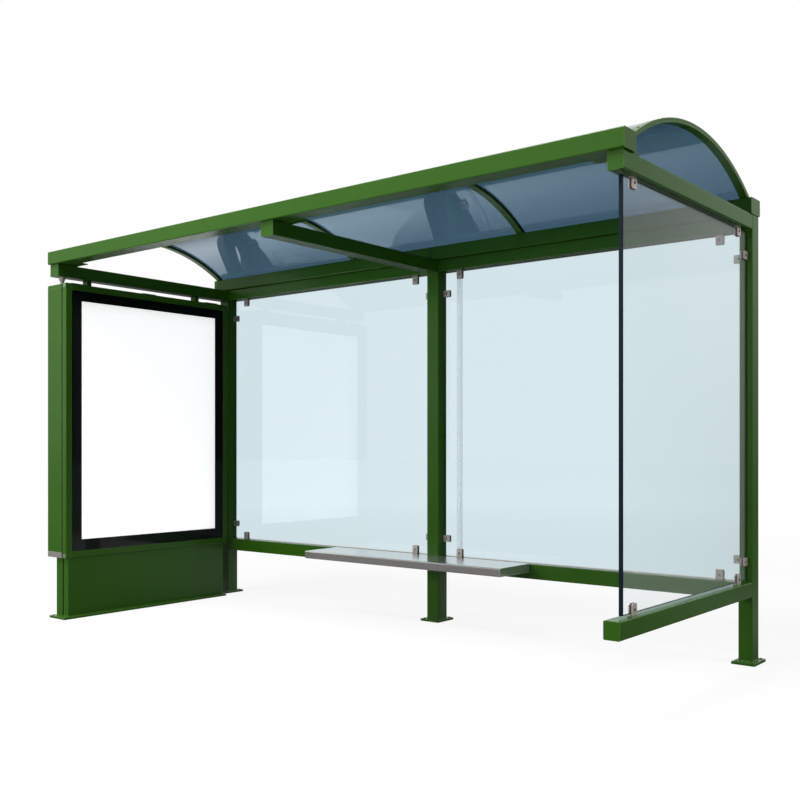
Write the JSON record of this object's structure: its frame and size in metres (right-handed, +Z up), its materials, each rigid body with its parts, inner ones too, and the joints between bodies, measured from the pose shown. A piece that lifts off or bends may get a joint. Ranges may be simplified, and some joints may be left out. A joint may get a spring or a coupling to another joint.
{
  "type": "bus shelter",
  "caption": "Waiting shelter with an arched tinted roof on a tube frame, glazed back and side, a steel bench and a poster case with a top-hung door.",
  "frame": {"origin": "on the floor, in the middle of the underside of the middle post's foot plate", "axes": "+X along the shelter towards the end with the side pane, +Y towards the back, +Z up"},
  "size_m": [4.572, 1.703, 2.7993],
  "materials": {
    "green_paint": "satin green powder coat",
    "stainless": "brushed stainless steel",
    "clear_glass": "clear toughened glass with a pale cyan cast",
    "tinted_sheet": "blue-grey tinted clear sheet",
    "black_rubber": "black rubber",
    "black_border": "black printed border",
    "poster_white": "plain white poster",
    "diffuser": "white light diffuser",
    "grey_aluminium": "anodised grey"
  },
  "bodies": {
    "shelter": {"post_left": "green_paint", "post_middle": "green_paint", "post_right": "green_paint", "post_feet": "green_paint", "foot_plinth": "green_paint", "top_rail_left": "green_paint", "top_rail_right": "green_paint", "bottom_rail_left": "green_paint", "bottom_rail_right": "green_paint", "roof_arm_left": "green_paint", "roof_arm_middle": "green_paint", "roof_arm_right": "green_paint", "side_sill": "green_paint", "front_beam": "green_paint", "rear_beam": "green_paint", "roof_ribs": "green_paint", "roof_covers": "green_paint", "roof_seals": "black_rubber", "roof_sheet_1": "tinted_sheet", "roof_sheet_2": "tinted_sheet", "roof_sheet_3": "tinted_sheet", "rear_pane_left": "clear_glass", "rear_pane_right": "clear_glass", "side_pane": "clear_glass", "rear_clamps": "stainless", "side_clamps": "stainless", "bench_seat": "stainless", "bench_brackets": "green_paint", "case_housing": "green_paint", "case_top_cap": "green_paint", "case_bottom_cap": "grey_aluminium", "case_gasket": "black_rubber", "light_panel": "diffuser", "poster": "poster_white", "case_hinges": "stainless", "case_hangers": "green_paint", "plinth_panel_inner": "green_paint", "plinth_panel_outer": "green_paint", "plinth_uprights": "green_paint"},
    "case_door": {"door_stiles": "green_paint", "door_rails": "green_paint", "door_glass": "clear_glass", "door_mask": "black_border", "door_hinges": "stainless"}
  },
  "joints": [
    {"name": "case_door_hinge", "type": "hinge", "parent": "shelter", "child": "case_door", "pos_m": [-2.125, -0.835, 2.361], "axis": [0, -1, 0], "range_deg": [0, 80]}
  ]
}
